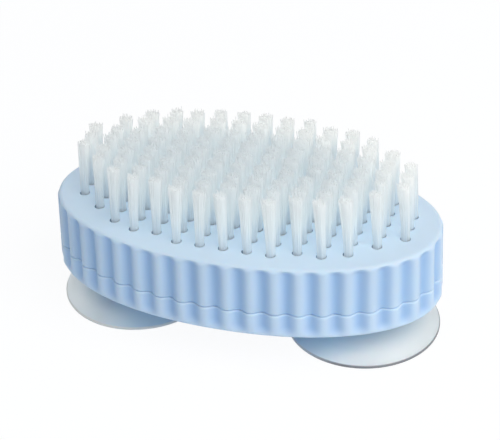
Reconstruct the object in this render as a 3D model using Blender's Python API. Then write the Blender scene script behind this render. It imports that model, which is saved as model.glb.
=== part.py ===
"""Oval nail brush that stands on two suction cups.

The body is a fluted head, pierced by the tuft holes, over a fluted cover.
Fifteen columns of bristle tufts rise through the head, each column fused to
its own backing strip inside. Two soft cups snap through the cover and turn.

Lengths are in millimetres and become metres in the meshes. The origin is on
the surface the cups stand on, midway between them, with +X along the body.
"""

import math

import bmesh
import bpy
import numpy as np

MM = 0.001

# Body outline at the top rim, and the flutes
BODY_LENGTH = 98.8
BODY_WIDTH = 52.6
BODY_FULLNESS = 2.1
DRAFT = 0.035
FLUTE_COUNT = 42
FLUTE_DEPTH = 1.1
FLUTE_NARROWNESS = 1.25
FLUTE_STEPS = 6
RUN_OUT_HEIGHT = 2.0
RUN_OUT_SHARE = 0.4
OUTLINE_SAMPLES = 2400

# Heights of the two body mouldings
STAND_OFF = 10.8
COVER_HEIGHT = 6.3
HEAD_HEIGHT = 13.0
EDGE_RADIUS = 1.3
FIT_GAP = 0.3
OVERCUT = 1.0

# Walls of the two body mouldings
HEAD_WALL = 2.0
TUFT_PLATE = 5.0
COVER_FLOOR = 2.2
INNER_STEPS = 64

# Locating lip and snaps
LIP_HEIGHT = 3.2
LIP_WALL = 1.5
SNAP_STATIONS = (-24.0, 0.0, 24.0)
SNAP_LENGTH = 6.0
SNAP_HEIGHT = 1.0
SNAP_RISE = 1.1
SNAP_REACH = 0.5

# Tuft pattern
TUFT_PITCH_X = 5.9
TUFT_PITCH_Y = 4.86
TUFT_END_MARGIN = 6.6
TUFT_SIDE_MARGIN = 5.5
TUFT_HOLE_RADIUS = 1.25
TUFT_HOLE_SIDES = 8

# Bristles and their backing strips
STRANDS_PER_TUFT = 4
BRISTLE_HEIGHT = 15.3
BRISTLE_RAGGED = 0.9
TUFT_TIP_RADIUS = 1.8
INWARD_LEAN = 1.2
STRAND_GAP = 0.14
CORE_GAP_ROOT = 0.12
CORE_GAP_TIP = 0.42
TIP_PARTING = 0.5
STRIP_THICKNESS = 1.4
STRIP_HALF_WIDTH = 1.7
STRIP_END_STEPS = 5
STRAND_ROOT = 0.5
GOLDEN = 0.618034

# Suction cups
CUP_SPACING = 60.4
CUP_RADIUS = 19.4
CUP_RIM_WIDTH = 1.1
CUP_RIM_THICKNESS = 0.8
CUP_HOLLOW_HEIGHT = 7.2
CUP_SHOULDER_RADIUS = 5.6
CUP_SHOULDER_DROP = 1.3
CUP_CURVE = 1.35
NECK_RADIUS = 3.4
BOSS_WALL = 1.8
BOSS_HEIGHT = 1.4
BUTTON_OVERHANG = 1.5
BUTTON_HEIGHT = 2.4
ROUND_STEPS = 32
CURVE_STEPS = 4

# Places that follow from the sizes above
COVER_TOP = STAND_OFF + COVER_HEIGHT
HEAD_BASE = COVER_TOP + FIT_GAP
HEAD_TOP = HEAD_BASE + HEAD_HEIGHT
CEILING = HEAD_TOP - TUFT_PLATE
FLOOR_TOP = STAND_OFF + COVER_FLOOR
CAVITY_INSET = FLUTE_DEPTH + HEAD_WALL
LIP_INSET = CAVITY_INSET + FIT_GAP
HOLLOW_INSET = LIP_INSET + LIP_WALL
NECK_HOLE_RADIUS = NECK_RADIUS + FIT_GAP
TUFT_RADIUS = TUFT_HOLE_RADIUS * math.cos(math.pi / TUFT_HOLE_SIDES) - FIT_GAP
STRIP_TOP = CEILING - FIT_GAP
CUP_X = CUP_SPACING / 2


def clear_scene():
    """Remove every object, mesh and material that is already there."""
    for item in list(bpy.data.objects):
        bpy.data.objects.remove(item, do_unlink=True)
    for mesh in list(bpy.data.meshes):
        bpy.data.meshes.remove(mesh)
    for material in list(bpy.data.materials):
        bpy.data.materials.remove(material)


def make_material(name, colour, roughness, metallic=0.0):
    """Return a Principled material with one colour."""
    material = bpy.data.materials.new(name)
    material.use_nodes = True
    shader = material.node_tree.nodes["Principled BSDF"]
    shader.inputs["Base Color"].default_value = (*colour, 1.0)
    shader.inputs["Roughness"].default_value = roughness
    shader.inputs["Metallic"].default_value = metallic
    material.diffuse_color = (*colour, 1.0)
    return material


def add_object(name, bm, parent=None, location=(0.0, 0.0, 0.0)):
    """Turn a bmesh in millimetres into an object in metres."""
    bmesh.ops.recalc_face_normals(bm, faces=bm.faces)
    bmesh.ops.scale(bm, vec=(MM, MM, MM), verts=bm.verts)
    mesh = bpy.data.meshes.new(name)
    bm.to_mesh(mesh)
    bm.free()
    item = bpy.data.objects.new(name, mesh)
    item.location = [value * MM for value in location]
    item.parent = parent
    bpy.context.scene.collection.objects.link(item)
    return item


def finish(item, material, crease_degrees):
    """Give a visible piece its material and smooth shading with crisp edges."""
    item.data.materials.append(material)
    item.data.shade_smooth()
    item.data.set_sharp_from_angle(angle=math.radians(crease_degrees))


def make_guide(item):
    """Mark an object as a shape that only cuts or joins another."""
    item.hide_render = True
    item.display_type = "WIRE"
    return item


def combine(item, tool, operation):
    """Cut the tool from the piece, or join the tool to it."""
    modifier = item.modifiers.new(f"{operation.lower()}_{tool.name}", "BOOLEAN")
    modifier.solver = "EXACT"
    modifier.operation = operation
    modifier.object = make_guide(tool)


def add_loft(bm, loops):
    """Skin closed loops of equal count into one closed solid."""
    rows = [[bm.verts.new(point) for point in loop] for loop in loops]
    count = len(rows[0])
    for lower, upper in zip(rows, rows[1:]):
        for step in range(count):
            after = (step + 1) % count
            bm.faces.new((lower[step], lower[after], upper[after], upper[step]))
    bm.faces.new(list(reversed(rows[0])))
    bm.faces.new(rows[-1])


def add_lathe(bm, profile, steps):
    """Turn a profile of (radius, height) points round Z, with both ends on the axis."""
    rings = []
    for radius, height in profile:
        if radius == 0.0:
            rings.append([bm.verts.new((0.0, 0.0, height))])
            continue
        angles = [2.0 * math.pi * step / steps for step in range(steps)]
        rings.append([
            bm.verts.new((radius * math.cos(a), radius * math.sin(a), height)) for a in angles
        ])
    for lower, upper in zip(rings, rings[1:]):
        for step in range(steps):
            after = (step + 1) % steps
            corners = [lower[step % len(lower)], lower[after % len(lower)],
                       upper[after % len(upper)], upper[step % len(upper)]]
            bm.faces.new(list(dict.fromkeys(corners)))


def oval_stations(count, start=0.0):
    """Return evenly spaced (x, y, normal x, normal y) rows round the body's outline.

    The first row is on the +X axis, or a share of a step past it.
    """
    angle = np.linspace(0.0, 2.0 * math.pi, OUTLINE_SAMPLES + 1)
    power = 2.0 / BODY_FULLNESS
    cosine = np.cos(angle)
    sine = np.sin(angle)
    x = BODY_LENGTH / 2 * np.sign(cosine) * np.abs(cosine) ** power
    y = BODY_WIDTH / 2 * np.sign(sine) * np.abs(sine) ** power
    travel = np.concatenate([[0.0], np.cumsum(np.hypot(np.diff(x), np.diff(y)))])
    wanted = (np.arange(count) + start) / count * travel[-1]
    x = np.interp(wanted, travel, x)
    y = np.interp(wanted, travel, y)
    along_x = np.roll(x, -1) - np.roll(x, 1)
    along_y = np.roll(y, -1) - np.roll(y, 1)
    length = np.hypot(along_x, along_y)
    return np.stack([x, y, along_y / length, -along_x / length], axis=1)


def rim_inset(inset, height):
    """Return how far inside the rim's outline a wall stands that widens downward."""
    return inset - DRAFT * (HEAD_TOP - height)


def plain_loop(inset, height):
    """Return the outline moved inward by the inset, with no flutes and no corner on an axis."""
    offset = rim_inset(inset, height)
    stations = oval_stations(INNER_STEPS, 0.5)
    return [(x - nx * offset, y - ny * offset, height) for x, y, nx, ny in stations]


def fluted_loop(inset, depth, height):
    """Return the outline with a wave of broad ribs and narrower valleys, a rib at each end."""
    loop = []
    for index, (x, y, nx, ny) in enumerate(oval_stations(FLUTE_COUNT * FLUTE_STEPS)):
        phase = 2.0 * math.pi * index / FLUTE_STEPS
        wave = ((1.0 - math.cos(phase)) / 2.0) ** FLUTE_NARROWNESS
        offset = rim_inset(inset + depth * wave, height)
        loop.append((x - nx * offset, y - ny * offset, height))
    return loop


def rounded_edge(height, direction):
    """Return the loops where the flutes run out into a plain rounded edge at the height."""
    half = math.radians(45.0)
    middle = height - direction * EDGE_RADIUS * (1.0 - math.sin(half))
    return [
        fluted_loop(0.0, FLUTE_DEPTH, height - direction * RUN_OUT_HEIGHT),
        fluted_loop(EDGE_RADIUS * (1.0 - math.cos(half)), FLUTE_DEPTH * RUN_OUT_SHARE, middle),
        fluted_loop(EDGE_RADIUS, 0.0, height),
    ]


def tuft_field():
    """Return half the length and half the width of the oval field of tufts."""
    return BODY_LENGTH / 2 - TUFT_END_MARGIN, BODY_WIDTH / 2 - TUFT_SIDE_MARGIN


def tuft_columns():
    """Return (x, list of y) for each column of tufts that fits the oval field."""
    half_length, half_width = tuft_field()
    reach = int(half_length // TUFT_PITCH_X)
    columns = []
    for index in range(-reach, reach + 1):
        x = index * TUFT_PITCH_X
        room = 2.0 * half_width * math.sqrt(1.0 - (x / half_length) ** 2)
        count = int(room // TUFT_PITCH_Y) + 1
        columns.append((x, [(row - (count - 1) / 2) * TUFT_PITCH_Y for row in range(count)]))
    return columns


def disc_loop(x, y, radius, sides, height):
    """Return a regular polygon round (x, y)."""
    angles = [2.0 * math.pi * (side + 0.5) / sides for side in range(sides)]
    return [(x + radius * math.cos(a), y + radius * math.sin(a), height) for a in angles]


def snap_places():
    """Return (x, y, normal angle) on the lip's outer face for each snap."""
    stations = oval_stations(OUTLINE_SAMPLES)
    inset = rim_inset(LIP_INSET, COVER_TOP + SNAP_RISE)
    places = []
    for side in (-1.0, 1.0):
        near = stations[stations[:, 1] * side > 0.0]
        for wanted in SNAP_STATIONS:
            x, y, nx, ny = near[np.argmin(np.abs(near[:, 0] - wanted))]
            places.append((x - nx * inset, y - ny * inset, math.atan2(ny, nx)))
    return places


def add_snap_blocks(bm, margin):
    """Add a block at each snap, grown by the margin on every side."""
    depth = SNAP_REACH + FIT_GAP + margin
    low = COVER_TOP + SNAP_RISE - margin
    high = COVER_TOP + SNAP_RISE + SNAP_HEIGHT + margin
    half = SNAP_LENGTH / 2 + margin
    for x, y, angle in snap_places():
        out = (math.cos(angle), math.sin(angle))
        along = (-out[1], out[0])
        corners = ((-LIP_WALL / 2, -half), (depth, -half), (depth, half), (-LIP_WALL / 2, half))
        loops = [
            [(x + out[0] * u + along[0] * v, y + out[1] * u + along[1] * v, z) for u, v in corners]
            for z in (low, high)
        ]
        add_loft(bm, loops)


def build_head(root, material):
    """Build the fluted head: a shell, open below, with a thick plate of tuft holes."""
    bm = bmesh.new()
    add_loft(bm, [fluted_loop(0.0, FLUTE_DEPTH, HEAD_BASE)] + rounded_edge(HEAD_TOP, 1.0))
    head = add_object("brush_head", bm, root)

    bm = bmesh.new()
    add_loft(bm, [plain_loop(CAVITY_INSET, HEAD_BASE - OVERCUT), plain_loop(CAVITY_INSET, CEILING)])
    combine(head, add_object("head_cavity", bm, root), "DIFFERENCE")

    bm = bmesh.new()
    for x, column in tuft_columns():
        for y in column:
            ends = (CEILING - OVERCUT, HEAD_TOP + OVERCUT)
            add_loft(bm, [disc_loop(x, y, TUFT_HOLE_RADIUS, TUFT_HOLE_SIDES, z) for z in ends])
    combine(head, add_object("tuft_holes", bm, root), "DIFFERENCE")

    bm = bmesh.new()
    add_snap_blocks(bm, FIT_GAP)
    combine(head, add_object("snap_pockets", bm, root), "DIFFERENCE")
    finish(head, material, 50.0)


def build_cover(root, material):
    """Build the cover: a fluted tray with a locating lip, snaps and two cup bosses."""
    bm = bmesh.new()
    edge = list(reversed(rounded_edge(STAND_OFF, -1.0)))
    add_loft(bm, edge + [fluted_loop(0.0, FLUTE_DEPTH, COVER_TOP)])
    cover = add_object("base_cover", bm, root)

    bm = bmesh.new()
    add_loft(bm, [plain_loop(LIP_INSET, z) for z in (COVER_TOP - OVERCUT, COVER_TOP + LIP_HEIGHT)])
    combine(cover, add_object("cover_lip", bm, root), "UNION")

    bm = bmesh.new()
    ends = (FLOOR_TOP, COVER_TOP + LIP_HEIGHT + OVERCUT)
    add_loft(bm, [plain_loop(HOLLOW_INSET, z) for z in ends])
    combine(cover, add_object("cover_hollow", bm, root), "DIFFERENCE")

    bm = bmesh.new()
    add_snap_blocks(bm, 0.0)
    combine(cover, add_object("cover_snaps", bm, root), "UNION")

    bm = bmesh.new()
    for x in (-CUP_X, CUP_X):
        ends = (FLOOR_TOP - OVERCUT, FLOOR_TOP + BOSS_HEIGHT)
        outer = NECK_HOLE_RADIUS + BOSS_WALL
        add_loft(bm, [disc_loop(x, 0.0, outer, ROUND_STEPS, z) for z in ends])
    combine(cover, add_object("cup_bosses", bm, root), "UNION")

    bm = bmesh.new()
    for x in (-CUP_X, CUP_X):
        ends = (STAND_OFF - OVERCUT, FLOOR_TOP + BOSS_HEIGHT + OVERCUT)
        add_loft(bm, [disc_loop(x, 0.0, NECK_HOLE_RADIUS, ROUND_STEPS, z) for z in ends])
    combine(cover, add_object("neck_holes", bm, root), "DIFFERENCE")
    finish(cover, material, 50.0)


def cup_profile():
    """Return the cup's outline from the crown of its hollow, round the rim, to its button."""
    points = []
    mouth = CUP_RADIUS - CUP_RIM_WIDTH
    for step in range(CURVE_STEPS + 1):
        share = step / CURVE_STEPS
        points.append((mouth * share, CUP_HOLLOW_HEIGHT * (1.0 - share ** 2)))
    points.append((CUP_RADIUS, 0.0))
    shoulder = STAND_OFF - FIT_GAP - CUP_SHOULDER_DROP
    for step in range(CURVE_STEPS + 1):
        share = step / CURVE_STEPS
        radius = CUP_RADIUS + (CUP_SHOULDER_RADIUS - CUP_RADIUS) * share
        rise = (shoulder - CUP_RIM_THICKNESS) * (1.0 - (1.0 - share) ** CUP_CURVE)
        points.append((radius, CUP_RIM_THICKNESS + rise))
    neck_top = FLOOR_TOP + BOSS_HEIGHT + FIT_GAP
    button_radius = NECK_HOLE_RADIUS + BUTTON_OVERHANG
    points += [
        (CUP_SHOULDER_RADIUS, STAND_OFF - FIT_GAP),
        (NECK_RADIUS, STAND_OFF - FIT_GAP),
        (NECK_RADIUS, neck_top),
        (button_radius, neck_top),
        (button_radius, neck_top + BUTTON_HEIGHT / 2),
        (button_radius - BUTTON_HEIGHT / 2, neck_top + BUTTON_HEIGHT),
        (0.0, neck_top + BUTTON_HEIGHT),
    ]
    return points


def build_cup(name, root, material, x):
    """Build one soft cup, with its origin on the axis it turns about."""
    bm = bmesh.new()
    add_lathe(bm, cup_profile(), ROUND_STEPS)
    cup = add_object(name, bm, root, (x, 0.0, 0.0))
    finish(cup, material, 40.0)


def strand_section(x, y, heading, core, radius, gap):
    """Return the three corners of one wedge of a round tuft."""
    half = math.pi / STRANDS_PER_TUFT - gap / radius
    corners = ((core, 0.0), (radius, -half), (radius, half))
    return [(x + r * math.cos(heading + a), y + r * math.sin(heading + a)) for r, a in corners]


def tuft_crown(x, y):
    """Return the middle of a tuft's tips, which lean inward more towards the rim."""
    half_length, half_width = tuft_field()
    lean = INWARD_LEAN * math.hypot(x / half_length, y / half_width) ** 2
    return x - lean * x / half_length, y - lean * y / half_width


def add_tuft(bm, x, y, number):
    """Add the strands of one tuft, straight in their hole and spread above it."""
    crown = tuft_crown(x, y)
    for strand in range(STRANDS_PER_TUFT):
        order = number * STRANDS_PER_TUFT + strand
        heading = 2.0 * math.pi * (number * GOLDEN + strand / STRANDS_PER_TUFT)
        root = strand_section(x, y, heading, CORE_GAP_ROOT, TUFT_RADIUS, STRAND_GAP / 2)
        tip = strand_section(*crown, heading, CORE_GAP_TIP, TUFT_TIP_RADIUS, TIP_PARTING / 2)
        loops = [[(*corner, height) for corner in root] for height in (STRIP_TOP - STRAND_ROOT, HEAD_TOP)]
        loops.append([
            (*corner, HEAD_TOP + BRISTLE_HEIGHT - BRISTLE_RAGGED * ((3 * order + side) * GOLDEN % 1.0))
            for side, corner in enumerate(tip)
        ])
        add_loft(bm, loops)


def strip_loop(x, reach, height):
    """Return a strip's outline: two straight sides joined by rounded ends."""
    loop = []
    for centre, start in ((reach, 0.0), (-reach, math.pi)):
        for step in range(STRIP_END_STEPS):
            angle = start + math.pi * step / (STRIP_END_STEPS - 1)
            along = STRIP_HALF_WIDTH * math.cos(angle)
            loop.append((x + along, centre + STRIP_HALF_WIDTH * math.sin(angle), height))
    return loop


def build_tuft_columns(root, material):
    """Build every column of tufts, each fused to the strip behind it."""
    number = 0
    for index, (x, column) in enumerate(tuft_columns(), start=1):
        bm = bmesh.new()
        ends = (STRIP_TOP - STRIP_THICKNESS, STRIP_TOP)
        add_loft(bm, [strip_loop(x, column[-1], z) for z in ends])
        strip = add_object(f"tuft_column_{index:02d}", bm, root)
        bm = bmesh.new()
        for y in column:
            add_tuft(bm, x, y, number)
            number += 1
        combine(strip, add_object(f"strands_{index:02d}", bm, root), "UNION")
        finish(strip, material, 60.0)


def main():
    """Build the whole brush."""
    clear_scene()
    body_plastic = make_material("pale_blue_plastic", (0.50, 0.66, 0.84), 0.35)
    cover_plastic = make_material("pale_blue_cover", (0.47, 0.64, 0.83), 0.35)
    bristle_nylon = make_material("clear_nylon", (0.80, 0.84, 0.85), 0.40)
    cup_vinyl = make_material("clear_vinyl", (0.68, 0.74, 0.79), 0.25)
    root = bpy.data.objects.new("nail_brush", None)
    bpy.context.scene.collection.objects.link(root)
    build_head(root, body_plastic)
    build_cover(root, cover_plastic)
    build_cup("suction_cup_left", root, cup_vinyl, -CUP_X)
    build_cup("suction_cup_right", root, cup_vinyl, CUP_X)
    build_tuft_columns(root, bristle_nylon)


main()
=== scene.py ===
"""Looks of an oval nail brush that stands on two suction cups.

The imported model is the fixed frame. Every piece that shows is made again here
in its own place with fine surfaces: the fluted head with its pierced tuft
plate, the fluted cover under the seam, the two soft cups and fifteen columns
of nylon tufts. A pale floor, a soft lamp and the camera follow.

Sizes in the classes are millimetres in the frame's own axes, and they become
metres when a mesh is made.
"""

import logging
import math
from dataclasses import dataclass, field
from enum import Enum

import bpy
import numpy as np
from mathutils import Matrix, Vector
from mathutils.geometry import tessellate_polygon


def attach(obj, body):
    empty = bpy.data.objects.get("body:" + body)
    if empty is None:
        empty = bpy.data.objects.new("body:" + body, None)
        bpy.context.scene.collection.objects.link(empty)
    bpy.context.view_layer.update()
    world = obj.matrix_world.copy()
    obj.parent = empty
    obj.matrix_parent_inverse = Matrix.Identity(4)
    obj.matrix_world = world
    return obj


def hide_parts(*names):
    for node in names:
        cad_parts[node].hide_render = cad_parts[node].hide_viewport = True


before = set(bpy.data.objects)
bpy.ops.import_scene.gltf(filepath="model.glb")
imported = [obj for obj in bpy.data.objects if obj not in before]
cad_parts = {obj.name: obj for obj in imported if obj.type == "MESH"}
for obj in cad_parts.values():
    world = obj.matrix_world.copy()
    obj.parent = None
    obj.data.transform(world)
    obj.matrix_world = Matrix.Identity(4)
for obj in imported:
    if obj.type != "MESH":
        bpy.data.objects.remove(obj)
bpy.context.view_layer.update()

MM = 0.001
LOG = logging.getLogger("nail_brush")

PLATE_TOP = 30.4
TUFT_HEIGHT = 15.3
CUP_X = 30.2
CUP_RADIUS = 19.6

GOLDEN_ANGLE = math.pi * (3.0 - math.sqrt(5.0))
LEAST_AREA = 1e-12
LOW_NOISE = 0.3
HIGH_NOISE = 0.7

Colour = tuple[float, float, float]
Triple = tuple[float, float, float]
Pair = tuple[float, float]
Array = np.ndarray
Loops = list[list[int]]
Piece = bpy.types.Object
Material = bpy.types.Material
Socket = bpy.types.NodeSocket
Tree = bpy.types.NodeTree


class Carrier(Enum):
    """Moving bodies that a piece can ride on."""

    BRUSH = "brush"
    LEFT_CUP = "left_cup"
    RIGHT_CUP = "right_cup"


class Slot(Enum):
    """Material slots of the record."""

    BODY = "body_plastic"
    BRISTLE = "bristle_nylon"
    CUP = "cup_vinyl"


def directions(sides: int, turn: float = 0.0) -> Array:
    """Return evenly spaced directions round a circle, as rows of x and y."""
    angle = turn + 2.0 * math.pi * np.arange(sides) / sides
    return np.stack([np.cos(angle), np.sin(angle)], axis=1)


class Draft:
    """A mesh in millimetres that grows by rings of points."""

    def __init__(self) -> None:
        """Start without points or faces."""
        self.points: list[Triple] = []
        self.faces: list[tuple[int, ...]] = []
        self.shaded: list[int] = []
        self.painted_shades: dict[int, float] = {}

    def ring(self, points: Array) -> list[int]:
        """Add points.

        Args:
            points: Rows of x, y and z, and on a fluted wall also of the point's share of painted shade.

        Returns:
            The number of each new point.
        """
        start = len(self.points)
        self.points.extend(map(tuple, points[:, :3].tolist()))
        if points.shape[1] == 4:
            self.painted_shades.update(enumerate(points[:, 3].tolist(), start=start))
        return list(range(start, len(self.points)))

    def level(self, flat: Array, height: float) -> list[int]:
        """Add points at one height, from rows of x and y, and return their numbers."""
        return self.ring(np.column_stack([flat, np.full(len(flat), height)]))

    def circle(self, place: Pair, radius: float, sides: int, height: float) -> list[int]:
        """Add a level circle of points and return their numbers."""
        return self.level(np.array(place) + radius * directions(sides), height)

    def skin(self, rings: Loops) -> None:
        """Join closed rings of equal count, each to the next.

        Args:
            rings: Point numbers, where a ring of one point is an end on the axis.
        """
        for lower, upper in zip(rings, rings[1:]):
            count = max(len(lower), len(upper))
            for step in range(count):
                after = (step + 1) % count
                corners = ((lower, step), (lower, after), (upper, after), (upper, step))
                numbers = (ring[place % len(ring)] for ring, place in corners)
                self.faces.append(tuple(dict.fromkeys(numbers)))

    def plate(self, outer: list[int], holes: Loops, up: bool) -> None:
        """Fill a flat outline that may have holes.

        Args:
            outer: Point numbers of the outline.
            holes: Point numbers of each hole.
            up: Whether the plate faces up.
        """
        loops = [outer, *holes]
        order = [number for loop in loops for number in loop]
        outlines = [[Vector((*self.points[number][:2], 0.0)) for number in loop] for loop in loops]
        for a, b, c in tessellate_polygon(outlines):
            face = (order[a], order[b], order[c])
            p, q, r = (self.points[number] for number in face)
            turn = (q[0] - p[0]) * (r[1] - p[1]) - (q[1] - p[1]) * (r[0] - p[0])
            if abs(turn) < LEAST_AREA:
                continue
            self.faces.append(face if (turn > 0.0) == up else face[::-1])

    def build(self, name: str, crease: float) -> Piece:
        """Make the object.

        Args:
            name: Name of the object and its mesh.
            crease: Angle in degrees above which an edge stays sharp.

        Returns:
            The new object, linked to the scene.
        """
        mesh = bpy.data.meshes.new(name)
        mesh.from_pydata((np.array(self.points) * MM).tolist(), [], self.faces)
        mesh.validate()
        mesh.shade_smooth()
        mesh.set_sharp_from_angle(angle=math.radians(crease))
        for number in self.shaded:
            mesh.polygons[number].material_index = 1
        # Painted shade: each point's share of flute-valley shade, stored for the plastic's material to read.
        if self.painted_shades:
            hollow = mesh.attributes.new("hollow", "FLOAT", "POINT")
            for number, value in self.painted_shades.items():
                hollow.data[number].value = value
        piece = bpy.data.objects.new(name, mesh)
        bpy.context.scene.collection.objects.link(piece)
        return piece


def plug(tree: Tree, value: Socket | float | tuple[float, ...], target: Socket) -> None:
    """Link a socket to another one, or write a plain value on it.

    Args:
        tree: Node tree of the sockets.
        value: Socket that is linked, or the plain value.
        target: Socket that takes it.
    """
    if isinstance(value, Socket):
        tree.links.new(value, target)
    else:
        target.default_value = value


def calculate(tree: Tree, operation: str, first: Socket | float, second: Socket | float) -> Socket:
    """Work out one sum.

    Args:
        tree: Node tree that it is worked out in.
        operation: Name of the Math node's operation.
        first: Left value or socket.
        second: Right value or socket.

    Returns:
        The result's socket.
    """
    node = tree.nodes.new("ShaderNodeMath")
    node.operation = operation
    plug(tree, first, node.inputs[0])
    plug(tree, second, node.inputs[1])
    return node.outputs["Value"]


def mix_shaders(tree: Tree, share: Socket | float, first: Socket, second: Socket) -> Socket:
    """Fade one shader into another.

    Args:
        tree: Node tree of the shaders.
        share: How much of the second shader shows.
        first: Shader where the share is 0.
        second: Shader where the share is 1.

    Returns:
        The result's socket.
    """
    node = tree.nodes.new("ShaderNodeMixShader")
    plug(tree, share, node.inputs["Fac"])
    tree.links.new(first, node.inputs[1])
    tree.links.new(second, node.inputs[2])
    return node.outputs["Shader"]


def set_stops(ramp: bpy.types.ColorRamp, stops: list[tuple[float, Colour]]) -> None:
    """Write the stops of a colour ramp.

    Args:
        ramp: The ramp, which gains the stops that it lacks.
        stops: Places from 0 to 1, each with its linear colour.
    """
    while len(ramp.elements) < len(stops):
        ramp.elements.new(0.5)
    for end, (place, colour) in zip(ramp.elements, stops):
        end.position = place
        end.color = (*colour, 1.0)


def sees_background(tree: Tree) -> Socket:
    """Tell rays that meet the plain white background from rays that carry light.

    Args:
        tree: Node tree that asks.

    Returns:
        A socket that is 1 for the first kind and 0 for the second.
    """
    path = tree.nodes.new("ShaderNodeLightPath").outputs
    direct = calculate(tree, "MAXIMUM", path["Is Camera Ray"], path["Is Glossy Ray"])
    return calculate(tree, "MAXIMUM", direct, path["Is Transmission Ray"])


class Recipe:
    """A node material that is put together by short calls."""

    def __init__(self, name: str) -> None:
        """Start a material whose shader is the one that Blender gives it.

        Args:
            name: Name of the material.
        """
        self.material = bpy.data.materials.new(name)
        self.material.use_nodes = True
        self.tree = self.material.node_tree
        self.nodes = self.tree.nodes
        self.links = self.tree.links
        self.shader = self.nodes["Principled BSDF"]
        self.place = self.nodes.new("ShaderNodeTexCoord").outputs["Object"]

    def noise(self, cells: Triple, detail: float = 2.0) -> Socket:
        """Add a noise over the object's own coordinates.

        Args:
            cells: Cells per metre along each axis.
            detail: Octaves of finer noise.

        Returns:
            The value's socket, from 0 to 1.
        """
        mapping = self.nodes.new("ShaderNodeMapping")
        mapping.inputs["Scale"].default_value = cells
        noise = self.nodes.new("ShaderNodeTexNoise")
        noise.inputs["Scale"].default_value = 1.0
        noise.inputs["Detail"].default_value = detail
        self.links.new(self.place, mapping.inputs["Vector"])
        self.links.new(mapping.outputs["Vector"], noise.inputs["Vector"])
        return noise.outputs["Fac"]

    def spread(self, value: Socket, low: float, high: float) -> Socket:
        """Stretch the middle of a noise over a range.

        Args:
            value: A noise's value.
            low: Result where the noise is low.
            high: Result where the noise is high.

        Returns:
            The result's socket.
        """
        ranger = self.nodes.new("ShaderNodeMapRange")
        ranger.inputs["From Min"].default_value = LOW_NOISE
        ranger.inputs["From Max"].default_value = HIGH_NOISE
        ranger.inputs["To Min"].default_value = low
        ranger.inputs["To Max"].default_value = high
        self.links.new(value, ranger.inputs["Value"])
        return ranger.outputs["Result"]

    def ramp(self, value: Socket, start: float, end: float, unit: float = MM) -> Socket:
        """Turn a value into a smooth rise from 0 to 1.

        Args:
            value: The value that is read.
            start: Where the rise starts, counted in units.
            end: Where it ends, counted in units.
            unit: Size of a unit.

        Returns:
            The result's socket.
        """
        ranger = self.nodes.new("ShaderNodeMapRange")
        ranger.interpolation_type = "SMOOTHSTEP"
        ranger.inputs["From Min"].default_value = start * unit
        ranger.inputs["From Max"].default_value = end * unit
        self.links.new(value, ranger.inputs["Value"])
        return ranger.outputs["Result"]

    def blend(self, value: Socket, stops: list[tuple[float, Colour]]) -> Socket:
        """Turn a value into a colour.

        Args:
            value: Where on the ramp to read.
            stops: Places from 0 to 1, each with its linear colour.

        Returns:
            The colour's socket.
        """
        ramp = self.nodes.new("ShaderNodeValToRGB")
        set_stops(ramp.color_ramp, stops)
        self.links.new(value, ramp.inputs["Fac"])
        return ramp.outputs["Color"]

    def hollow(self) -> Socket:
        """Read each point's share of painted flute-valley shade.

        Returns:
            The value's socket.
        """
        reader = self.nodes.new("ShaderNodeAttribute")
        reader.attribute_name = "hollow"
        return reader.outputs["Fac"]

    def tint(self, colour: Socket, share: Socket, veil: Colour) -> Socket:
        """Multiply a colour by another, by a varying share.

        Args:
            colour: The colour's socket.
            share: How much of the veil shows, from 0 to 1.
            veil: Colour that it is multiplied by.

        Returns:
            The result's socket.
        """
        veiled = self.mix(colour, (*veil, 1.0), share)
        veiled.node.blend_type = "MULTIPLY"
        return veiled

    def mix(self, first: Socket, second: Socket | tuple[float, ...], share: Socket) -> Socket:
        """Fade one colour into another.

        Args:
            first: Colour where the share is 0.
            second: Colour where the share is 1, as a socket or as plain numbers.
            share: How much of the second colour shows.

        Returns:
            The result's socket.
        """
        mix = self.nodes.new("ShaderNodeMix")
        mix.data_type = "RGBA"
        self.links.new(share, mix.inputs["Factor"])
        self.links.new(first, mix.inputs["A"])
        plug(self.tree, second, mix.inputs["B"])
        return mix.outputs["Result"]

    def axis(self, name: str) -> Socket:
        """Read one coordinate of the object's own space.

        Args:
            name: X, Y or Z.

        Returns:
            The coordinate's socket, in metres.
        """
        split = self.nodes.new("ShaderNodeSeparateXYZ")
        self.links.new(self.place, split.inputs["Vector"])
        return split.outputs[name]

    def math(self, operation: str, first: Socket | float, second: Socket | float) -> Socket:
        """Work out one sum in the material's own tree."""
        return calculate(self.tree, operation, first, second)

    def squares(self, x: Socket, y: Socket) -> Socket:
        """Return the sum of two squares."""
        return self.math("ADD", self.math("MULTIPLY", x, x), self.math("MULTIPLY", y, y))

    def bump(self, height: Socket, depth: float) -> None:
        """Roughen the surface.

        Args:
            height: Value from 0 to 1.
            depth: Height of a full step, in millimetres.
        """
        node = self.nodes.new("ShaderNodeBump")
        node.inputs["Distance"].default_value = depth * MM
        self.links.new(height, node.inputs["Height"])
        self.links.new(node.outputs["Normal"], self.shader.inputs["Normal"])

    def set(self, **values: float | tuple[float, ...]) -> None:
        """Write plain values on the shader's sockets, with _ for each space in a name."""
        for name, value in values.items():
            self.shader.inputs[name.replace("_", " ")].default_value = value

    def feed(self, name: str, value: Socket) -> None:
        """Link a varying value to one of the shader's sockets."""
        self.links.new(value, self.shader.inputs[name])

    def cover(self, share: Socket | float, under: Socket, over: Socket) -> None:
        """Make a mix of two shaders the surface of the material."""
        shown = mix_shaders(self.tree, share, under, over)
        self.links.new(shown, self.nodes["Material Output"].inputs["Surface"])

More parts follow.
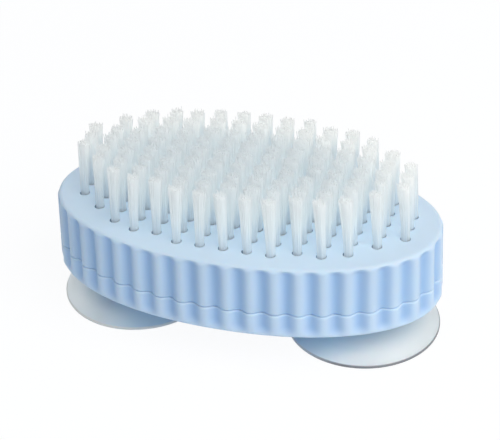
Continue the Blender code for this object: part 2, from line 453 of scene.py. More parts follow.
    def let_through(self, colour: Socket, share: float, clear: float) -> None:
        """Let light pass through the surface.

        Args:
            colour: Colour of the light that comes out behind.
            share: How much of the surface scatters light to its other side.
            clear: How much of a lamp's light goes straight on.
        """
        scatter = self.nodes.new("ShaderNodeBsdfTranslucent")
        self.links.new(colour, scatter.inputs["Color"])
        body = mix_shaders(self.tree, share, self.shader.outputs["BSDF"], scatter.outputs["BSDF"])
        path = self.nodes.new("ShaderNodeLightPath")
        passing = self.nodes.new("ShaderNodeBsdfTransparent")
        gone = self.math("MULTIPLY", path.outputs["Is Shadow Ray"], clear)
        self.cover(gone, body, passing.outputs["BSDF"])


@dataclass(frozen=True)
class MouldedBlue:
    """Pale blue satin plastic, straight from the mould, with painted shade: deeper in tone where the mesh
    marks a flute valley.
    """

    name: str
    colour: Colour
    # Painted shade: the colour multiplied in where the mesh's hollow attribute marks a flute valley.
    deep: Colour = (0.60, 0.74, 0.91)
    cloud: float = 0.03
    cloud_cells: Triple = (60.0, 60.0, 25.0)
    roughness: Pair = (0.42, 0.50)
    flow_cells: Triple = (220.0, 220.0, 90.0)
    grain: float = 0.004
    grain_cells: Triple = (2600.0, 2600.0, 2600.0)
    glow: float = 0.3
    glow_depth: float = 1.6
    glow_reach: Triple = (0.4, 0.7, 1.0)

    def make(self) -> Material:
        """Make the material, with faint clouds, flow marks, a fine grain and painted shade in the flute
        valleys.

        Returns:
            The material.
        """
        recipe = Recipe(self.name)
        light = tuple(part * (1.0 + self.cloud) for part in self.colour)
        dark = tuple(part * (1.0 - self.cloud) for part in self.colour)
        clouds = recipe.noise(self.cloud_cells, detail=3.0)
        paint = recipe.blend(clouds, [(LOW_NOISE, dark), (HIGH_NOISE, light)])
        # Painted shade: the deep colour darkens the paint by each point's share of flute-valley shade.
        recipe.feed("Base Color", recipe.tint(paint, recipe.hollow(), self.deep))
        recipe.feed("Roughness", recipe.spread(recipe.noise(self.flow_cells, detail=4.0), *self.roughness))
        recipe.bump(recipe.noise(self.grain_cells), self.grain)
        recipe.set(IOR=1.5, Specular_IOR_Level=0.3, Subsurface_Weight=self.glow)
        recipe.set(Subsurface_Radius=self.glow_reach, Subsurface_Scale=self.glow_depth * MM)
        return recipe.material


@dataclass(frozen=True)
class ClearNylon:
    """Milky white nylon filament that light passes through, with painted shade and light in its tone by
    height and by place in the field.
    """

    name: str
    # Painted shade and light: tones by height, darker near the plate; outer is for the edge of the field and
    # inner for its middle, whose middle heights are lighter and tips darker to offset how the tufts shade
    # each other.
    stops: tuple[float, ...] = (0.0, 0.28, 0.75, 1.0)
    outer: tuple[Colour, ...] = (
        (0.80, 0.85, 0.88),
        (0.84, 0.87, 0.885),
        (0.862, 0.882, 0.887),
        (0.89, 0.896, 0.893),
    )
    inner: tuple[Colour, ...] = (
        (0.80, 0.85, 0.88),
        (0.862, 0.892, 0.902),
        (0.85, 0.875, 0.882),
        (0.812, 0.837, 0.848),
    )
    middle: Pair = (0.0, -5.0)
    field_size: Pair = (49.0, 21.5)
    field_edge: Pair = (0.15, 0.9)
    streak: float = 0.2
    streak_cells: Triple = (2400.0, 2400.0, 45.0)
    roughness: Pair = (0.3, 0.45)
    sheen_cells: Triple = (3000.0, 3000.0, 400.0)
    through: float = 0.6
    clear: float = 0.95

    def make(self) -> Material:
        """Make the material, streaked along the filaments, with painted shade near the plate and painted
        light and shade that change from the edge of the field to its middle.

        Returns:
            The material.
        """
        recipe = Recipe(self.name)
        rise = recipe.ramp(recipe.axis("Z"), PLATE_TOP, PLATE_TOP + TUFT_HEIGHT)
        streak = recipe.spread(recipe.noise(self.streak_cells), -self.streak, self.streak)
        level = recipe.math("ADD", rise, streak)
        outer, inner = (recipe.blend(level, list(zip(self.stops, tone))) for tone in (self.outer, self.inner))
        x, y = (
            recipe.math("DIVIDE", recipe.math("SUBTRACT", recipe.axis(name), middle * MM), size * MM)
            for name, middle, size in zip("XY", self.middle, self.field_size)
        )
        # Painted shade and light: the tones shift from the inner set in the middle of the field to the outer
        # set at its edge.
        rim = recipe.ramp(recipe.squares(x, y), *self.field_edge, unit=1.0)
        colour = recipe.mix(inner, outer, rim)
        recipe.feed("Base Color", colour)
        recipe.feed("Roughness", recipe.spread(recipe.noise(self.sheen_cells), *self.roughness))
        recipe.set(IOR=1.4)
        recipe.let_through(colour, self.through, self.clear)
        return recipe.material


@dataclass(frozen=True)
class SoftVinyl:
    """Soft vinyl, clear on the side that stands out from under the body, with painted shade on the side under
    it and a painted rim line.

    Outward is 1 for a cup that stands out towards +X, and -1 for one towards -X.
    """

    name: str
    outward: float
    # Painted rim line: colours of the rim's cut edge on the side under the body and on the open side,
    # standing in for light bent at the thin edge.
    painted_rim_line_under_body: Colour
    painted_rim_line_open_side: Colour
    advance: float = 0.0
    colour: Colour = (0.85, 0.905, 0.925)
    # Painted shade where the cup lies under the body; thick is partly the thicker dome's own tone and partly
    # painted shade.
    painted_under_body_shade: Colour = (0.605, 0.74, 0.835)
    thick: Colour = (0.54, 0.66, 0.74)
    cut_start: float = CUP_RADIUS - 0.35
    cut_end: float = CUP_RADIUS - 0.1
    thin: float = 18.0
    dome: float = 12.0
    skirt: float = 16.2
    clearing: Pair = (-3.0, 16.0)
    # Painted shade band along the outward axis; advance pushes it outward beyond the skirt radius.
    painted_shade_band: Pair = (-8.0, 8.0)
    clarity: float = 0.8
    haze: float = 0.04
    haze_cells: Triple = (90.0, 90.0, 160.0)
    roughness: Pair = (0.34, 0.42)
    sheen_cells: Triple = (400.0, 400.0, 400.0)
    grain: float = 0.003
    grain_cells: Triple = (700.0, 700.0, 700.0)

    def make(self) -> Material:
        """Make the material, deeper in tone where the dome is thick, partly its own tone and partly painted
        shade, with painted shade under the body and a painted line in the rim's cut edge.

        Returns:
            The material.
        """
        recipe = Recipe(self.name)
        x = recipe.axis("X")
        radius = recipe.math("SQRT", recipe.squares(x, recipe.axis("Y")), 0.0)
        # Deeper tone towards the dome: partly the thicker vinyl's own tone, partly painted shade under the
        # body.
        inward = recipe.ramp(radius, self.dome, self.thin)
        cut = recipe.ramp(radius, self.cut_start, self.cut_end)
        haze = recipe.spread(recipe.noise(self.haze_cells, detail=3.0), -self.haze, self.haze)
        paint = recipe.blend(recipe.math("ADD", inward, haze), [(0.0, self.thick), (1.0, self.colour)])
        outward = recipe.math("MULTIPLY", x, self.outward)
        fresh = recipe.ramp(outward, *self.clearing)
        # Painted shade: darker on the side under the body, its edge pushed outward past the skirt by advance.
        past = recipe.math("MAXIMUM", recipe.math("SUBTRACT", radius, self.skirt * MM), 0.0)
        ahead = recipe.math("ADD", outward, recipe.math("MULTIPLY", past, self.advance))
        out_of_painted_shade = recipe.ramp(ahead, *self.painted_shade_band)
        surface = recipe.tint(paint, recipe.math("SUBTRACT", 1.0, out_of_painted_shade), self.painted_under_body_shade)
        # Painted rim line in the cut edge, its colour set by side.
        edge = recipe.blend(out_of_painted_shade, [(0.0, self.painted_rim_line_under_body), (1.0, self.painted_rim_line_open_side)])
        recipe.feed("Base Color", recipe.mix(surface, edge, cut))
        recipe.feed("Roughness", recipe.spread(recipe.noise(self.sheen_cells, detail=3.0), *self.roughness))
        recipe.bump(recipe.noise(self.grain_cells), self.grain)
        uncut = recipe.math("SUBTRACT", self.clarity, recipe.math("MULTIPLY", cut, self.clarity))
        recipe.feed("Transmission Weight", recipe.math("MULTIPLY", fresh, uncut))
        recipe.set(IOR=1.45, Subsurface_Weight=0.2, Subsurface_Scale=2.0 * MM)
        return recipe.material


def dress(piece: Piece, carrier: Carrier, finishes: list[Material], nodes: list[str]) -> Piece:
    """Finish one piece and put it in place of its nodes.

    Args:
        piece: The mesh object.
        carrier: Body that it moves with.
        finishes: Its material, and the painted-shade material of its shaded faces if it has any.
        nodes: Nodes of the frame that it stands for.

    Returns:
        The finished piece.
    """
    for finish in finishes:
        piece.data.materials.append(finish)
    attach(piece, carrier.value)
    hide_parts(*nodes)
    return piece


@dataclass
class BodyOutline:
    """The oval that both body mouldings share, with its flutes."""

    length: float = 98.8
    width: float = 52.6
    fullness: float = 2.1
    draft: float = 0.035
    flutes: int = 42
    flute_depth: float = 1.1
    narrowness: float = 1.25
    drift: float = -0.07
    # Painted shade in the flute valleys: shade_drift shifts it a little along the flutes so that one flank of
    # each valley is darker, as if lit from one side, and least_shade is the painted shade left on the crests.
    shade_drift: float = 0.03
    least_shade: float = 0.18
    flute_end: float = 0.4
    flute_steps: int = 16
    plain_steps: int = 168
    top: float = PLATE_TOP
    samples: int = 4800

    def stations(self, count: int) -> Array:
        """Space places evenly round the rim.

        Args:
            count: Number of places.

        Returns:
            Rows of x, y, normal x and normal y.
        """
        angle = np.linspace(0.0, 2.0 * math.pi, self.samples + 1)
        power = 2.0 / self.fullness
        x = self.length / 2 * np.sign(np.cos(angle)) * np.abs(np.cos(angle)) ** power
        y = self.width / 2 * np.sign(np.sin(angle)) * np.abs(np.sin(angle)) ** power
        travel = np.concatenate([[0.0], np.cumsum(np.hypot(np.diff(x), np.diff(y)))])
        wanted = np.arange(count) / count * travel[-1]
        x, y = (np.interp(wanted, travel, side) for side in (x, y))
        along_x, along_y = (np.roll(side, -1) - np.roll(side, 1) for side in (x, y))
        size = np.hypot(along_x, along_y)
        return np.stack([x, y, along_y / size, -along_x / size], axis=1)

    def place(self, rows: Array, inset: Array | float, height: float) -> Array:
        """Move stations inward and lift them.

        Args:
            rows: Stations of the rim.
            inset: Distance inside the rim's outline, before the draft.
            height: Height of the new loop.

        Returns:
            Rows of x, y and z.
        """
        offset = inset - self.draft * (self.top - height)
        x = rows[:, 0] - rows[:, 2] * offset
        y = rows[:, 1] - rows[:, 3] * offset
        return np.stack([x, y, np.full_like(x, height)], axis=1)

    def plain(self, inset: float, height: float) -> Array:
        """Return a loop without flutes."""
        return self.place(self.stations(self.plain_steps), inset, height)

    def fluted(self, inset: float, share: float, height: float, pale: float = 0.0) -> Array:
        """Make a loop with flutes.

        Args:
            inset: Distance of the rib crests inside the outline.
            share: Depth of the valleys, where 1 is their full depth.
            height: Height of the loop.
            pale: How much of the painted shade is left out there, which paints a lighter band.

        Returns:
            Rows of x, y, z and the share of painted shade on the wall there.
        """
        rows = self.stations(self.flutes * self.flute_steps)
        phase = 2.0 * math.pi * (np.arange(len(rows)) / self.flute_steps - self.drift)
        wave = (1.0 - np.cos(phase)) / 2.0
        loop = self.place(rows, inset + self.flute_depth * share * wave ** self.narrowness, height)
        # Painted shade: darkest in each valley, shifted a little by shade_drift, and never below least_shade
        # on the crests.
        hollow = (1.0 - np.cos(phase - 2.0 * math.pi * self.shade_drift)) / 2.0
        shade = self.least_shade + (1.0 - self.least_shade) * hollow
        return np.column_stack([loop, share * (1.0 - pale) * shade])

    def rounded(self, height: float, toward: float, radius: float, run_out: float, steps: int) -> list[Array]:
        """Make the loops of an edge where the flutes run out into a plain rounded rim.

        Args:
            height: Height of the flat face that the edge meets.
            toward: 1 for an upper edge and -1 for a lower one.
            radius: Radius of the edge.
            run_out: Distance from the flat face within which the flutes run out.
            steps: Number of strips round the edge, and as many beside it.

        Returns:
            Loops from the wall to the flat face.
        """
        turns = np.linspace(0.0, math.pi / 2, steps + 1)
        downs = [*np.linspace(run_out, radius, steps + 1)[:-1], *(radius * (1.0 - np.sin(turns)))]
        insets = [0.0] * steps + list(radius * (1.0 - np.cos(turns)))
        loops = []
        for down, inset in zip(downs, insets):
            rise = min(max((down - self.flute_end) / (run_out - self.flute_end), 0.0), 1.0)
            share = 1.0 - (1.0 - rise) ** 2
            loops.append(self.fluted(inset, share, height - toward * down))
        return loops


@dataclass
class TuftPattern:
    """Where the tufts stand in the plate."""

    outline: BodyOutline
    pitch_x: float = 5.9
    pitch_y: float = 4.86
    end_margin: float = 6.6
    side_margin: float = 5.5

    def half_size(self) -> Pair:
        """Return half the length and half the width of the field."""
        return self.outline.length / 2 - self.end_margin, self.outline.width / 2 - self.side_margin

    def columns(self) -> list[tuple[float, list[float]]]:
        """Work out the places of the tufts.

        Returns:
            The x and the list of y for each column, from left to right.
        """
        half_length, half_width = self.half_size()
        reach = int(half_length // self.pitch_x)
        columns = []
        for index in range(-reach, reach + 1):
            x = index * self.pitch_x
            room = 2.0 * half_width * math.sqrt(1.0 - (x / half_length) ** 2)
            count = int(room // self.pitch_y) + 1
            columns.append((x, [(row - (count - 1) / 2) * self.pitch_y for row in range(count)]))
        return columns


@dataclass
class BrushHead:
    """The upper moulding: a fluted shell whose thick plate holds the tufts."""

    outline: BodyOutline
    pattern: TuftPattern
    plastic: MouldedBlue = MouldedBlue("pale_blue_plastic", (0.635, 0.775, 0.905))
    # Painted shade: a darker copy of the blue, without subsurface, for the walls inside the tuft holes.
    painted_hole_shade: MouldedBlue = MouldedBlue("shade_painted_in_holes", (0.22, 0.32, 0.43), glow=0.0)
    base: float = 17.4
    ceiling: float = 25.4
    edge_radius: float = 1.3
    edge_steps: int = 10
    wall_steps: int = 4
    run_out: float = 2.0
    seam_radius: float = 0.2
    cavity_inset: float = 3.1
    hole_radius: float = 1.25
    hole_edge: float = 0.14
    hole_bevel: float = 0.3
    hole_collar: float = 0.1
    hole_sides: int = 24
    collar: float = 0.12

    def make(self) -> list[Piece]:
        """Build the moulding and dress it, with painted shade on the walls inside its holes.

        Returns:
            The finished moulding.
        """
        finishes = [self.plastic.make(), self.painted_hole_shade.make()]
        return [dress(self.mesh(), Carrier.BRUSH, finishes, ["brush_head"])]

    def mesh(self) -> Piece:
        """Build the moulding as one closed mesh.

        Returns:
            The mesh object.
        """
        draft = Draft()
        outline = self.outline
        top = outline.top
        levels = np.linspace(self.base + self.seam_radius, top - self.run_out, self.wall_steps + 1)
        wall = [outline.fluted(self.seam_radius, 1.0, self.base)]
        wall += [outline.fluted(0.0, 1.0, z) for z in levels[:-1]]
        wall += outline.rounded(top, 1.0, self.edge_radius, self.run_out, self.edge_steps)
        wall.append(outline.fluted(self.edge_radius + self.collar, 0.0, top))
        outer = [draft.ring(loop) for loop in wall]
        draft.skin(outer)
        inner = [draft.ring(outline.plain(self.cavity_inset, z)) for z in (self.base, self.ceiling)]
        draft.skin(inner[::-1])
        draft.plate(outer[0], [inner[0]], up=False)
        upper, lower = self.holes(draft)
        draft.plate(outer[-1], upper, up=True)
        draft.plate(inner[1], lower, up=False)
        return draft.build("head_moulding", crease=40.0)

    def holes(self, draft: Draft) -> tuple[Loops, Loops]:
        """Add the tuft holes, each with a slightly rounded mouth.

        Args:
            draft: Mesh that they are added to.

        Returns:
            The loops at the plate's top and those at its underside.
        """
        edge = self.hole_edge
        bevel = edge * self.hole_bevel
        mouth = [(edge + self.hole_collar, 0.0), (edge, 0.0), (bevel, bevel), (0.0, edge)]
        sizes = [(self.hole_radius + out, self.outline.top - down) for out, down in mouth]
        sizes.append((self.hole_radius, self.ceiling))
        upper = []
        lower = []
        for x, column in self.pattern.columns():
            for y in column:
                rings = [draft.circle((x, y), radius, self.hole_sides, z) for radius, z in sizes]
                draft.skin(rings[:-1])
                # Painted shade: the hole walls below the mouth take the darker second material.
                start = len(draft.faces)
                draft.skin(rings[-2:])
                draft.shaded.extend(range(start, len(draft.faces)))
                upper.append(rings[0])
                lower.append(rings[-1])
        return upper, lower


@dataclass
class BaseCover:
    """The lower moulding: a fluted tray with a locating lip and two cup bosses."""

    outline: BodyOutline
    plastic: MouldedBlue = MouldedBlue("pale_blue_cover", (0.65, 0.79, 0.925))
    stand_off: float = 10.8
    top: float = 17.1
    floor_top: float = 13.0
    edge_radius: float = 1.3
    edge_steps: int = 10
    run_out: float = 3.2
    collar: float = 0.12
    seam_radius: float = 0.45
    seam_steps: int = 4
    seam_collar: float = 0.1
    seam_step: float = 0.22
    lip_inset: float = 3.4
    lip_wall: float = 1.5
    lip_height: float = 3.2
    neck_hole: float = 3.7
    neck_bevel: float = 0.2
    boss_wall: float = 1.8
    boss_height: float = 1.4
    sides: int = 64

    def make(self) -> list[Piece]:
        """Build the moulding and dress it."""
        return [dress(self.mesh(), Carrier.BRUSH, [self.plastic.make()], ["base_cover"])]

    def mesh(self) -> Piece:
        """Build the moulding as one closed mesh, whose edge drops its painted flute shade as it rolls into
        the seam, which paints a light line there.

        Returns:
            The mesh object.
        """
        draft = Draft()
        outline = self.outline
        seam = self.seam_radius
        land = self.top + self.seam_step
        wall = outline.rounded(self.stand_off, -1.0, self.edge_radius, self.run_out, self.edge_steps)[::-1]
        wall.insert(0, outline.fluted(self.edge_radius + self.collar, 0.0, self.stand_off))
        wall.append(outline.fluted(0.0, 1.0, (self.stand_off + self.run_out + self.top) / 2))
        # Painted highlight: the painted flute shade fades out round the seam edge, so that the edge reads as
        # a light line.
        for pale in np.linspace(0.0, 1.0, self.seam_steps + 1):
            turn = math.pi / 2 * pale
            drop = seam * (1.0 - math.sin(turn))
            wall.append(outline.fluted(seam * (1.0 - math.cos(turn)), 1.0, self.top - drop, pale))
        wall += [outline.fluted(seam + self.seam_collar, 1.0, z) for z in (self.top, land)]
        outer = [draft.ring(loop) for loop in wall]
        draft.skin(outer)
        lip_top = self.top + self.lip_height
        near = self.lip_inset
        far = near + self.lip_wall
        inside = [(near, land), (near, lip_top), (far, lip_top), (far, self.floor_top)]
        lip = [draft.ring(outline.plain(inset, z)) for inset, z in inside]
        draft.skin(lip)
        draft.plate(outer[-1], [lip[0]], up=True)
        necks, feet = self.bosses(draft)
        draft.plate(outer[0], necks, up=False)
        draft.plate(lip[-1], feet, up=True)
        return draft.build("cover_moulding", crease=40.0)

    def bosses(self, draft: Draft) -> tuple[Loops, Loops]:
        """Add the two bosses with their neck holes.

        Args:
            draft: Mesh that they are added to.

        Returns:
            The loops under the cover and those on its floor.
        """
        top = self.floor_top + self.boss_height
        outer = self.neck_hole + self.boss_wall
        sizes = [
            (outer, self.floor_top),
            (outer, top),
            (self.neck_hole, top),
            (self.neck_hole, self.stand_off + self.neck_bevel),
            (self.neck_hole + self.neck_bevel, self.stand_off),
        ]
        necks = []
        feet = []
        for x in (-CUP_X, CUP_X):
            rings = [draft.circle((x, 0.0), radius, self.sides, z) for radius, z in sizes]
            draft.skin(rings)
            feet.append(rings[0])
            necks.append(rings[-1])
        return necks, feet


@dataclass
class SuctionCup:
    """One soft cup with its rim, hollow, shoulder, neck and button."""

    name: str
    carrier: Carrier
    x: float
    vinyl: SoftVinyl
    radius: float = CUP_RADIUS
    rim_width: float = 1.1
    rim_thickness: float = 0.7
    rim_edge: float = 0.2
    rim_corner: float = 0.06
    rim_shoulder: Pair = (0.05, 0.07)
    dome_inset: float = 0.16
    hollow_height: float = 7.2
    shoulder_radius: float = 5.6
    shoulder: float = 9.2
    shoulder_top: float = 10.5
    shoulder_inset: float = 0.06
    shoulder_rise: float = 0.2
    shoulder_bevel: float = 0.3
    curve: float = 1.35
    neck_radius: float = 3.4
    neck_top: float = 14.7
    button_radius: float = 5.2
    button_height: float = 2.4
    sides: int = 160
    curve_steps: int = 22

    def profile(self) -> list[Pair]:
        """Draw the outline that is turned into the cup.

        Returns:
            Radius and height of each point, from the crown of the hollow, round the rim, to the button.
        """
        shares = [step / self.curve_steps for step in range(self.curve_steps + 1)]
        radius = self.radius
        mouth = radius - self.rim_width
        rim = self.rim_thickness
        start = radius - self.dome_inset
        reach = self.shoulder_radius - start
        rise = self.shoulder - rim
        collar = self.shoulder_radius - self.shoulder_inset
        button_top = self.neck_top + self.button_height
        return [
            *((mouth * share, self.hollow_height * (1.0 - share ** 2)) for share in shares),
            (radius - self.rim_edge, 0.0),
            (radius - self.rim_corner, self.rim_corner),
            (radius, self.rim_edge),
            (radius, rim - self.rim_edge),
            (radius - self.rim_shoulder[0], rim - self.rim_shoulder[1]),
            *((start + reach * share, rim + rise * (1.0 - (1.0 - share) ** self.curve)) for share in shares),
            (collar, self.shoulder + self.shoulder_rise),
            (collar, self.shoulder_top - self.shoulder_bevel),
            (collar - self.shoulder_bevel, self.shoulder_top),
            (self.neck_radius, self.shoulder_top),
            (self.neck_radius, self.neck_top),
            (self.button_radius, self.neck_top),
            (self.button_radius, self.neck_top + self.button_height / 2),
            (self.button_radius - self.button_height / 2, button_top),
            (0.0, button_top),
        ]

    def make(self) -> list[Piece]:
        """Build the cup and dress it."""
        return [dress(self.mesh(), self.carrier, [self.vinyl.make()], [f"suction_{self.name}"])]

    def mesh(self) -> Piece:
        """Build the cup as one turned mesh, with its origin on the axis that it turns about.

        Returns:
            The mesh object.
        """
        draft = Draft()
        rings = []
        for radius, height in self.profile():
            sides = self.sides if radius > 0.0 else 1
            rings.append(draft.circle((0.0, 0.0), radius, sides, height))
        draft.skin(rings)
        cup = draft.build(self.name, crease=50.0)
        cup.location = (self.x * MM, 0.0, 0.0)
        return cup


@dataclass
class TuftField:
    """All the tufts, as one piece for each column."""

    pattern: TuftPattern
    nylon: ClearNylon = ClearNylon("milky_nylon")
    filaments: int = 44
    sides: int = 5
    thickness: float = 0.28
    taper: float = 0.12
    point: float = 0.05
    depth: float = 3.0
    height: float = TUFT_HEIGHT
    bend: float = 1.35
    root: Pair = (1.04, 0.70)
    root_back: float = 0.34
    tip: Pair = (1.65, 1.55)
    tip_stray: float = 0.11
    sway: float = 0.05
    inward: float = 1.2
    lean: float = 0.2
    flare: Pair = (0.9, 1.12)
    crowding: float = 0.45
    least_drop: float = 0.02
    most_drop: float = 1.4
    trim: float = 0.08
    cut: float = 0.2
    ragged: float = 0.4
    slope: float = 0.10
    core_share: float = 0.92
    core_sides: int = 22
    core_ribs: Pair = (0.93, 1.03)
    core_full: float = 0.92
    core_steps: int = 7
    core_cap: tuple[Pair, ...] = ((0.94, 0.84), (0.95, 0.5))
    core_lean: float = 0.94
    core_end: float = 0.953
    levels: tuple[float, ...] = (0.0, 0.18, 0.4, 0.64, 0.86, 1.0)
    seed: int = 20
    chance: np.random.Generator = field(init=False)

    def __post_init__(self) -> None:
        """Start the field's own seeded numbers."""
        self.chance = np.random.default_rng(self.seed)

    def spots(self) -> Array:
        """Pack the filaments evenly in a unit disc.

        Returns:
            Rows of x and y.
        """
        order = np.arange(self.filaments)
        reach = np.sqrt((order + 0.5) / self.filaments)
        angle = order * GOLDEN_ANGLE + self.chance.uniform(0.0, 2.0 * math.pi)
        return np.stack([reach * np.cos(angle), reach * np.sin(angle)], axis=1)

    def tuft(self, draft: Draft, place: Array) -> None:
        """Add the core and the filaments of one tuft.

        Args:
            draft: Mesh that they are added to.
            place: Centre of the tuft's hole.
        """
        outward = place / self.pattern.half_size()
        reach = float(np.hypot(*outward))
        lean = self.chance.normal(0.0, self.lean, 2) - self.inward * outward * reach ** 2
        fill = 1.0 - min(reach, 1.0) ** 4
        flare = self.chance.uniform(*self.flare) * (1.0 + self.crowding * fill)
        cut = self.trim + self.chance.uniform(0.0, self.cut)
        slope = self.chance.normal(0.0, self.slope, 2)
        base = place + (0.0, self.root_back)
        crown = place + lean
        self.core(draft, base, crown, flare)
        for spot in self.spots():
            root = base + spot * self.root
            stray = self.chance.normal(0.0, self.tip_stray, 2)
            tip = crown + spot * self.tip * flare + stray
            drop = cut + abs(self.chance.normal(0.0, self.ragged)) + float(slope @ spot)
            length = self.height - min(max(drop, self.least_drop), self.most_drop)
            sway = self.chance.normal(0.0, self.sway, 2)
            self.filament(draft, root, tip, sway, length)

    def core(self, draft: Draft, base: Array, crown: Array, flare: float) -> None:
        """Add the dense middle of a tuft, ribbed by the filaments that lie in it.

        Args:
            draft: Mesh that it is added to.
            base: Centre of the tuft where it leaves the plate.
            crown: Centre of the tuft's tip, seen from above.
            flare: How much wider than usual the tip is.
        """
        top = self.pattern.outline.top
        ribs = self.chance.uniform(*self.core_ribs, self.core_sides)
        unit = directions(self.core_sides) * ribs[:, None]
        narrow = np.array(self.root)
        wide = np.array(self.tip) * flare
        shaft = [(level, 1.0) for level in np.linspace(0.0, self.core_full, self.core_steps)]
        rings = []
        for level, fill in [(-self.depth / self.height, 1.0), *shaft, *self.core_cap]:
            bend = max(level, 0.0) ** self.bend
            spread = (narrow + (wide - narrow) * bend) * self.core_share * fill
            centre = base + (crown - base) * bend
            rings.append(draft.level(centre + unit * spread, top + self.height * level))
        end = base + (crown - base) * self.core_lean
        rings.append(draft.level(end[None, :], top + self.height * self.core_end))
        draft.skin(rings)

    def filament(self, draft: Draft, root: Array, tip: Array, sway: Array, length: float) -> None:
        """Add one filament.

        Args:
            draft: Mesh that it is added to.
            root: Where it leaves the plate.
            tip: Where it ends, seen from above.
            sway: How far its middle strays.
            length: Height of its tip above the plate.
        """
        top = self.pattern.outline.top
        turn = self.chance.uniform(0.0, 2.0 * math.pi)
        section = directions(self.sides, turn) * self.thickness / 2
        rings = [draft.level(root + section, top - self.depth)]
        for share in self.levels:
            centre = root + (tip - root) * share ** self.bend + sway * math.sin(math.pi * share)
            rings.append(draft.level(centre + section * (1.0 - self.taper * share), top + length * share))
        rings.append(draft.level(tip[None, :], top + length + self.point))
        draft.skin(rings)

    def make(self) -> list[Piece]:
        """Build one piece for each column of tufts and dress it.

        Returns:
            The finished pieces, from left to right.
        """
        nylon = self.nylon.make()
        pieces = []
        for number, (x, column) in enumerate(self.pattern.columns(), start=1):
            draft = Draft()
            for y in column:
                self.tuft(draft, np.array([x, y]))
            tufts = draft.build(f"nylon_tufts_{number:02d}", crease=60.0)
            nodes = [f"tuft_column_{number:02d}"]
            pieces.append(dress(tufts, Carrier.BRUSH, [nylon], nodes))
        return pieces


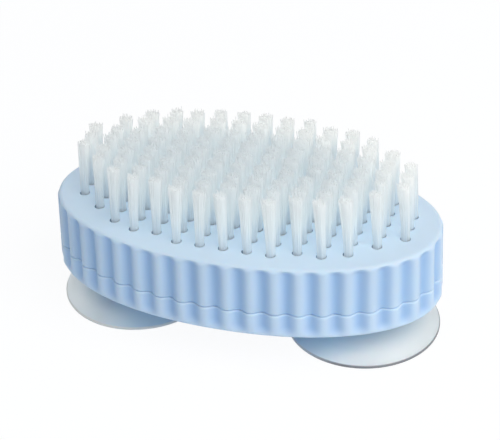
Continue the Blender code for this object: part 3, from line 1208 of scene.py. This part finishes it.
@dataclass
class Studio:
    """Floor, lamp, white surroundings and the camera.

    The lamp and the nearest distance are in metres, the focal length and the photo's width in pixels.
    """

    focal: float = 1500.0
    photo_width: float = 500.0
    sensor: float = 36.0
    nearest: float = 0.01
    azimuth: float = 17.655
    elevation: float = 33.968
    roll: float = -1.848
    distance: float = 367.95
    target: Triple = (2.897, -6.455, 30.4)
    sky: Colour = (0.485, 0.50, 0.515)
    sky_start: float = 0.9
    horizon: Colour = (0.24, 0.29, 0.36)
    glow: float = 1.035
    glow_share: float = 0.90
    floor_size: float = 3000.0
    floor_gap: float = 0.04
    floor_tone: Colour = (0.77, 0.83, 0.90)
    floor_cloud: float = 0.01
    floor_cells: Triple = (3.0, 3.0, 3.0)
    lamp_tint: Colour = (1.035, 0.99, 0.95)
    lamp_power: float = 8.4
    lamp_size: float = 1.0
    lamp_place: Triple = (0.68, -0.40, 0.78)
    lamp_target: Triple = (0.0, 0.0, 0.02)

    def camera(self) -> None:
        """Add the camera that looks from the photograph's side."""
        side, lift, tilt = map(math.radians, (self.azimuth, self.elevation, self.roll))
        back = Vector((math.sin(side) * math.cos(lift), -math.cos(side) * math.cos(lift), math.sin(lift)))
        right = Vector((math.cos(side), math.sin(side), 0.0))
        up = back.cross(right)
        across = right * math.cos(tilt) + up * math.sin(tilt)
        above = up * math.cos(tilt) - right * math.sin(tilt)
        data = bpy.data.cameras.new("photo_view")
        data.sensor_width = self.sensor
        data.lens = self.focal / self.photo_width * self.sensor
        data.clip_start = self.nearest
        camera = bpy.data.objects.new("photo_view", data)
        turn = Matrix((across, above, back)).transposed()
        place = Vector(self.target) * MM + back * self.distance * MM
        camera.matrix_world = Matrix.Translation(place) @ turn.to_4x4()
        scene = bpy.context.scene
        scene.collection.objects.link(camera)
        scene.camera = camera

    def lamp(self) -> None:
        """Add the square soft lamp that faces the brush."""
        data = bpy.data.lights.new("key_softbox", "AREA")
        data.size = self.lamp_size
        data.energy = self.lamp_power
        data.color = self.lamp_tint
        lamp = bpy.data.objects.new("key_softbox", data)
        lamp.location = self.lamp_place
        away = Vector(self.lamp_place) - Vector(self.lamp_target)
        lamp.rotation_euler = away.to_track_quat("Z", "Y").to_euler()
        bpy.context.scene.collection.objects.link(lamp)

    def surroundings(self) -> None:
        """Light the scene from above and all round, and show a white background."""
        world = bpy.data.worlds.new("white_room")
        world.use_nodes = True
        tree = world.node_tree
        light = tree.nodes["Background"]
        place = tree.nodes.new("ShaderNodeTexCoord")
        split = tree.nodes.new("ShaderNodeSeparateXYZ")
        rise = tree.nodes.new("ShaderNodeValToRGB")
        rise.color_ramp.interpolation = "EASE"
        set_stops(rise.color_ramp, [(0.0, self.horizon), (self.sky_start, self.sky)])
        tree.links.new(place.outputs["Generated"], split.inputs["Vector"])
        tree.links.new(split.outputs["Z"], rise.inputs["Fac"])
        tree.links.new(rise.outputs["Color"], light.inputs["Color"])
        white = tree.nodes.new("ShaderNodeBackground")
        white.inputs["Color"].default_value = (1.0, 1.0, 1.0, 1.0)
        seen = sees_background(tree)
        shown = mix_shaders(tree, seen, light.outputs["Background"], white.outputs["Background"])
        tree.links.new(shown, tree.nodes["World Output"].inputs["Surface"])
        bpy.context.scene.world = world

    def floor(self) -> None:
        """Lay the pale floor, which shows white and keeps a faint shadow."""
        recipe = Recipe("pale_floor")
        dark = tuple(part - self.floor_cloud for part in self.floor_tone)
        light = tuple(part + self.floor_cloud for part in self.floor_tone)
        clouds = recipe.noise(self.floor_cells)
        recipe.feed("Base Color", recipe.blend(clouds, [(LOW_NOISE, dark), (HIGH_NOISE, light)]))
        recipe.set(Roughness=0.9, Specular_IOR_Level=0.0)
        glow = recipe.nodes.new("ShaderNodeEmission")
        glow.inputs["Strength"].default_value = self.glow
        share = recipe.math("MULTIPLY", sees_background(recipe.tree), self.glow_share)
        recipe.cover(share, recipe.shader.outputs["BSDF"], glow.outputs["Emission"])
        half = self.floor_size / 2
        corners = np.array([[-half, -half], [half, -half], [half, half], [-half, half]])
        draft = Draft()
        draft.faces.append(tuple(draft.level(corners, -self.floor_gap)))
        floor = draft.build("studio_floor", crease=30.0)
        floor.data.materials.append(recipe.material)

    def make(self) -> None:
        """Set up the whole studio."""
        scene = bpy.context.scene
        scene.view_settings.view_transform = "Standard"
        scene.cycles.max_bounces = 32
        scene.cycles.diffuse_bounces = 16
        scene.cycles.transmission_bounces = 32
        scene.cycles.transparent_max_bounces = 64
        self.camera()
        self.surroundings()
        self.floor()
        self.lamp()


def main() -> None:
    """Build the brush, dress it and light it."""
    logging.basicConfig(level=logging.INFO, format="%(name)s: %(message)s")
    outline = BodyOutline()
    pattern = TuftPattern(outline)
    # The two cups carry lit and shaded versions of the painted rim line, and only the right one pushes its
    # painted shade outward.
    left_vinyl = SoftVinyl(
        "clear_vinyl_of_cup_left",
        outward=-1.0,
        painted_rim_line_under_body=(0.74, 0.76, 0.75),
        painted_rim_line_open_side=(0.80, 0.79, 0.75),
    )
    right_vinyl = SoftVinyl(
        "clear_vinyl_of_cup_right",
        outward=1.0,
        painted_rim_line_under_body=(0.66, 0.70, 0.71),
        painted_rim_line_open_side=(0.23, 0.245, 0.26),
        advance=2.4,
    )
    parts = [
        BrushHead(outline, pattern),
        BaseCover(outline),
        SuctionCup("cup_left", Carrier.LEFT_CUP, -CUP_X, left_vinyl),
        SuctionCup("cup_right", Carrier.RIGHT_CUP, CUP_X, right_vinyl),
        TuftField(pattern),
    ]
    for part in parts:
        for piece in part.make():
            LOG.info("%s: %d faces", piece.name, len(piece.data.polygons))
    Studio().make()


if __name__ == "__main__":
    main()
